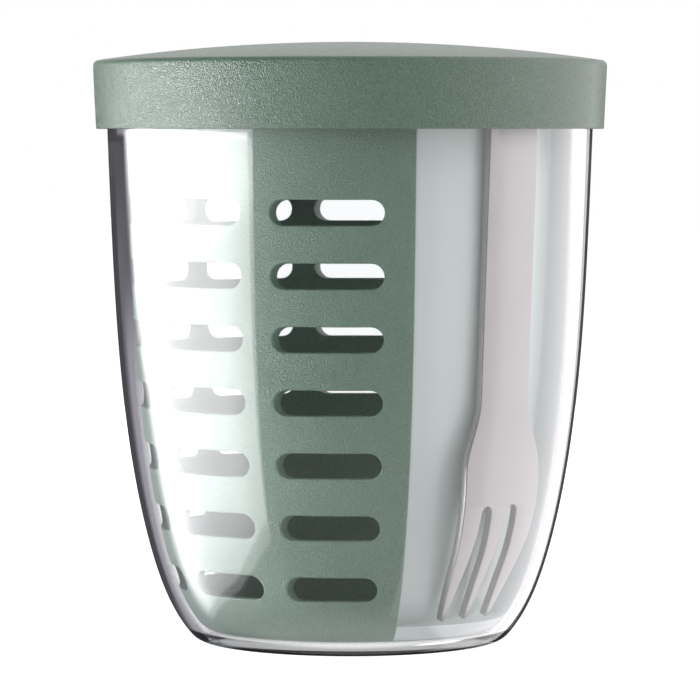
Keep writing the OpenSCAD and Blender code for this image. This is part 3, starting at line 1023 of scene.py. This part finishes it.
def clear_plastic(name):
    """Polished clear plastic that lets lamps through."""
    made, tree = new_material(name)
    place = tree.node("TexCoord", out="Object")
    ripple = tree.node("TexNoise", None, {"Vector": place, "Scale": 35.0, "Detail": 1.0})
    haze = tree.node("TexNoise", None, {"Vector": place, "Scale": 400.0, "Detail": 4.0})
    normal = tree.node("Bump", None, {"Height": ripple, "Strength": 0.05, "Distance": 0.2 * MM})
    shader = tree.node("BsdfPrincipled", None, {
        "Base Color": (0.975, 0.98, 0.985, 1),
        "Roughness": haze * 0.03,
        "IOR": PLASTIC_IOR,
        "Transmission Weight": 1.0,
        "Normal": normal,
    })
    clear = tree.node("BsdfTransparent", None, {"Color": (0.97, 0.975, 0.98, 1)})
    matt = tree.math("GREATER_THAN", tree.node("LightPath", out="Diffuse Depth"), 0.5)
    bounced = tree.math("GREATER_THAN", tree.node("LightPath", out="Glossy Depth"), 0.5)
    within = tree.math("COMPARE", tree.node("LightPath", out="Transmission Depth"), 2.0, 0.5)
    returning = tree.math("MAXIMUM", matt, bounced * within)
    straight = tree.math("MAXIMUM", tree.node("LightPath", out="Is Shadow Ray"), returning)
    mixed = tree.node("MixShader", None, {0: straight, 1: shader, 2: clear})
    tree.node("OutputMaterial", None, {"Surface": mixed})
    return made


dress(clear_plastic("clear_pot"), pot_shell)

# %% [markdown]
# ## Brushed steel and silicone
#
# The fork is brushed along its length: long, thin scratches that a noise gives when its space is
# squeezed across the fork and stretched along it.

# %% Fork steel
def brushed_steel(name):
    """Steel with fine scratches along Z."""
    made, tree = new_material(name)
    place = tree.node("TexCoord", out="Object")
    squeezed = tree.node("Mapping", None, {"Vector": place, "Scale": (900.0, 5200.0, 45.0)})
    scratches = tree.node(
        "TexNoise", None, {"Vector": squeezed, "Scale": 1.0, "Detail": 3.0, "Roughness": 0.6}
    )
    clouds = tree.node("TexNoise", None, {"Vector": place, "Scale": 90.0, "Detail": 2.0})
    colour = tree.mix(scratches * 0.6 + clouds * 0.4, (0.365, 0.352, 0.347, 1), (0.48, 0.466, 0.457, 1))
    normal = tree.node("Bump", None, {"Height": scratches, "Strength": 0.25, "Distance": 0.02 * MM})
    shader = tree.node("BsdfPrincipled", None, {
        "Base Color": colour,
        "Metallic": 1.0,
        "Roughness": 0.30 + scratches * 0.16,
        "Normal": normal,
    })
    tree.node("OutputMaterial", None, {"Surface": shader})
    return made


dress(brushed_steel("fork_steel"), fork_blank)

# %% [markdown]
# The seal is translucent white silicone, matt with a dusty bloom. A little subsurface light softens
# it, and a fine noise carries the bloom into colour and roughness.

# %% Seal silicone
def seal_silicone(name):
    """Soft, matt white silicone."""
    made, tree = new_material(name)
    place = tree.node("TexCoord", out="Object")
    bloom = tree.node("TexNoise", None, {"Vector": place, "Scale": 700.0, "Detail": 4.0})
    colour = tree.mix(bloom, (0.66, 0.70, 0.67, 1), (0.80, 0.83, 0.80, 1))
    normal = tree.node("Bump", None, {"Height": bloom, "Strength": 0.2, "Distance": 0.05 * MM})
    shader = tree.node("BsdfPrincipled", None, {
        "Base Color": colour,
        "Roughness": 0.45 + bloom * 0.2,
        "Subsurface Weight": 0.15,
        "Subsurface Scale": 1.5 * MM,
        "Normal": normal,
    })
    tree.node("OutputMaterial", None, {"Surface": shader})
    return made


dress(seal_silicone("seal_silicone"), seal_ring)

# %% [markdown]
# ## Camera
#
# The photograph was taken with a long lens from a little above the middle of the pot. The lens length
# follows from the picture's scale: so many pixels for a millimetre at the pot's axis.

# %% Camera
PICTURE = 700
FOCAL_PIXELS = 4123
CAMERA_DISTANCE = 860.0
CAMERA_TURN = 41.8
CAMERA_Z = 106.3
CAMERA_PITCH = 3.05
SENSOR = 36.0


def around(degrees_right, distance, z):
    """A place round the pot, turned from the camera's side towards its right hand."""
    angle = math.radians(CAMERA_TURN - 90 + degrees_right)
    return Vector((distance * math.cos(angle), distance * math.sin(angle), z)) * MM


camera_data = bpy.data.cameras.new("photo_camera")
camera_data.sensor_width = SENSOR
camera_data.lens = FOCAL_PIXELS / PICTURE * SENSOR
camera_data.clip_start = 0.01
camera = bpy.data.objects.new("photo_camera", camera_data)
bpy.context.collection.objects.link(camera)
camera.location = around(0, CAMERA_DISTANCE, CAMERA_Z)
camera.rotation_euler = (
    math.radians(90 - CAMERA_PITCH), 0, math.radians(CAMERA_TURN)
)
bpy.context.scene.camera = camera
print(f"lens {camera_data.lens:.0f} mm")

# %% [markdown]
# ## Studio
#
# Clear plastic looks like what it mirrors and what it bends into view, so the studio is written as
# directions round the pot: a large bright softbox on the left, a dim one on the right, a white
# backdrop, and dark flags that draw the pot's edges. The world holds them, and asks by which way a
# ray has come: mirrored rays see the softboxes, rays through the pot see backdrop and flags, and the
# camera sees plain white.

# %% Directions in the world
world = bpy.data.worlds.new("studio")
bpy.context.scene.world = world
world.use_nodes = True
world.node_tree.nodes.clear()
sky = Wire(world.node_tree)
heading = sky.node("TexCoord", out="Generated")
to_camera = around(0, 1 / MM, 0)
to_right = around(90, 1 / MM, 0)
front = sky.node("VectorMath", {"operation": "DOT_PRODUCT"}, {0: heading, 1: to_camera}, out="Value")
right = sky.node("VectorMath", {"operation": "DOT_PRODUCT"}, {0: heading, 1: to_right}, out="Value")
turn = sky.math("DEGREES", sky.math("ARCTAN2", right, front))
rise = sky.math("DEGREES", sky.math("ARCSINE", sky.axes(heading)[2]))
behind = sky.math("ABSOLUTE", turn)

# %% [markdown]
# Mirrored rays see a dim room. The softbox on the left makes the white veil on the pot and the sheen on
# the lid. It is far stronger than white, because plastic mirrors only about a tenth of it. It ends at
# the horizon: from the far side the lid's dome would mirror anything higher as a white patch. Its top
# strip is the strongest, since only the lid's wide sheen reaches it in the photo's view. The right box
# is dimmer and lights the fork. Pieces inside the pot mirror a paler floor, so that the steel doesn't
# turn black from other sides.

# %% What mirrored rays see
DIM = (0.10, 0.10, 0.11, 1)
LEFT_BOX = (6.6, 6.6, 6.7, 1)
LEFT_EDGE = (4.4, 4.4, 4.45, 1)
LEFT_FOOT = (1.6, 1.6, 1.65, 1)
LEFT_FAR = (13.5, 13.5, 13.6, 1)
BRIM_FAR = (28.0, 28.0, 28.2, 1)
BRIM_EDGE = (9.0, 9.0, 9.1, 1)
LILAC = (0.36, 0.34, 0.39, 1)
SEEN_FLOOR = (0.80, 0.80, 0.81, 1)
INSIDE_FLOOR = (0.45, 0.45, 0.45, 1)
RIGHT_NEAR = (0.80, 0.77, 0.79, 1)
RIGHT_BOX = (1.45, 1.39, 1.43, 1)
FAR = (0.07, 0.07, 0.08, 1)
BACKDROP = (1, 1, 1, 1)
DULL_BACKDROP = (0.82, 0.82, 0.82, 1)
left_foot = (rise - turn * 0.22).ramp(-17.4, -15.4) * rise.ramp(-35, -33)
left_heights = left_foot * (1 - rise.ramp(-0.5, 2))
left_start = (turn + rise.ramp(-9, -2) * 8).ramp(-129, -109)
left_end = 1 - turn.ramp(-49.4, -47.8)
right_box = sky.mix(turn.ramp(74, 86), RIGHT_NEAR, RIGHT_BOX)
mirrored = sky.mix(behind.ramp(126, 136), DIM, FAR)
inside = sky.math("GREATER_THAN", sky.node("LightPath", out="Transmission Depth"), 1.5)
mirrored = sky.mix(inside * (1 - rise.ramp(-20, -10)), mirrored, INSIDE_FLOOR)
mirrored = sky.mix(rise.ramp(-66, -46), SEEN_FLOOR, mirrored)
mirrored = sky.mix(turn.window(-152, -124, 6) * (1 - rise.ramp(-3.5, -0.8)), mirrored, LILAC)
mirrored = sky.mix(turn.window(33, 159, 1.5) * rise.window(-55, 55, 4), mirrored, right_box)
mirrored = sky.mix(behind.ramp(150, 156) * rise.ramp(3, 6), mirrored, DULL_BACKDROP)
left_box = sky.mix(turn.ramp(-68, -48), LEFT_BOX, LEFT_EDGE)
left_box = sky.mix(turn.ramp(-124, -102), LEFT_FAR, left_box)
left_box = sky.mix(rise.ramp(-42, -8), LEFT_FOOT, left_box)
left_brim = sky.mix(turn.ramp(-84, -50), BRIM_FAR, BRIM_EDGE)
left_box = sky.mix(rise.ramp(-3, -1.5), left_box, left_brim)
mirrored = sky.mix(left_start * left_end * left_heights, mirrored, left_box)

# %% [markdown]
# Rays through the wall see a backdrop a little brighter than white, which makes up for what the wall
# holds back. Dark flags stand at the sides and behind, as a photographer puts black card beside glass:
# the wall bends them into view as thin dark lines along its edges.

# %% What rays through the pot see
FLAG = (0.055, 0.05, 0.075, 1)
BRIGHT_BACKDROP = (1.2, 1.2, 1.2, 1)
side_flags = turn.window(85, 125, 4) + turn.window(-101, -80, 4)
back_flag = turn.window(-172, -145, 4) * rise.ramp(-4.5, -0.5)
through = sky.mix(side_flags * rise.window(-30, 30, 4) + back_flag, BRIGHT_BACKDROP, FLAG)

# %% [markdown]
# Light Path tells by which way a ray has come, and so which of these worlds it sees. Rays from matt
# surfaces get an even fill. The world isn't sampled as a lamp: a map of its bright places can't know
# by which way a ray will come.

# %% Choosing by the ray's way
FILL = (0.5, 0.5, 0.5, 1)
FLOOR_LIGHT = (0.85, 0.85, 0.85, 1)
fill = sky.mix(rise.ramp(-4, 4), FLOOR_LIGHT, FILL)
path = sky.node("LightPath").socket.node


def ray(name):
    """One of the Light Path node's outputs."""
    return Wire(world.node_tree, path.outputs[name])


undiffused = 1 - sky.math("GREATER_THAN", ray("Diffuse Depth"), 0.5)
reflected = sky.math("GREATER_THAN", ray("Glossy Depth"), 0.5)
seen = sky.mix(ray("Is Glossy Ray") * reflected * undiffused, fill, mirrored)
seen = sky.mix(ray("Is Transmission Ray") * (1 - reflected) * undiffused, seen, through)
seen = sky.mix(ray("Is Camera Ray"), seen, BACKDROP)
background = sky.node("Background", None, {"Color": seen, "Strength": 1.0})
sky.node("OutputWorld", None, {"Surface": background})
world.cycles.sampling_method = "NONE"

# %% [markdown]
# The lamps light matt surfaces only, because the world already shows the softboxes to shiny ones.
# The strength of an area lamp is its power, so the radiance wanted is multiplied by four times its
# area. The lamps are found by direct sampling alone, which is enough for matt surfaces.

# %% Lamps
def panel(name, degrees_right, distance, z, width, height, radiance):
    """An area lamp that faces the pot and is seen by no mirrored ray."""
    data = bpy.data.lights.new(name, "AREA")
    data.shape = "RECTANGLE"
    data.size = width * MM
    data.size_y = height * MM
    data.energy = radiance * 4 * data.size * data.size_y
    lamp = bpy.data.objects.new(name, data)
    bpy.context.collection.objects.link(lamp)
    lamp.location = around(degrees_right, distance, z)
    aim = Vector((0, 0, 0.06)) - lamp.location
    lamp.rotation_euler = aim.to_track_quat("-Z", "Y").to_euler()
    lamp.visible_glossy = False
    lamp.visible_transmission = False
    data.cycles.use_multiple_importance_sampling = False
    return lamp


panel("left_panel", -85, 600, 170, 900, 800, 1.2)
panel("right_panel", 88, 600, 170, 900, 800, 0.9)
panel("front_panel", -35, 1000, 250, 380, 380, 3.1)
panel("back_panel", 180, 700, 170, 900, 500, 1.0)

# %% [markdown]
# The floor is a wide, pale, matt plane. A glow that only the camera sees lifts it to white, so it runs
# into the backdrop and still keeps the pot's soft shadow.

# %% Floor
FLOOR_SIZE = 6000.0
FLOOR_GLOW = 0.70


def white_floor():
    """A pale floor that the camera sees white, with the pot's shadow kept."""
    made, tree = new_material("white_floor")
    paint = tree.node("BsdfDiffuse", None, {"Color": (0.86, 0.86, 0.86, 1)})
    direct = tree.node("LightPath", out="Is Camera Ray")
    glow = tree.node("Emission", None, {"Color": (1, 1, 1, 1), "Strength": direct * FLOOR_GLOW})
    both = tree.node("AddShader", None, {0: paint, 1: glow})
    tree.node("OutputMaterial", None, {"Surface": both})
    return made


floor_mesh = bpy.data.meshes.new("floor")
reach = FLOOR_SIZE / 2 * MM
corners = [(-reach, -reach, 0), (reach, -reach, 0), (reach, reach, 0), (-reach, reach, 0)]
floor_mesh.from_pydata(corners, [], [(0, 1, 2, 3)])
floor = bpy.data.objects.new("floor", floor_mesh)
bpy.context.collection.objects.link(floor)
floor.visible_glossy = False
floor.visible_transmission = False
dress(white_floor(), floor)

# %% [markdown]
# The Standard view shows colours as they are written.

# %% Finish
bpy.context.scene.view_settings.view_transform = "Standard"
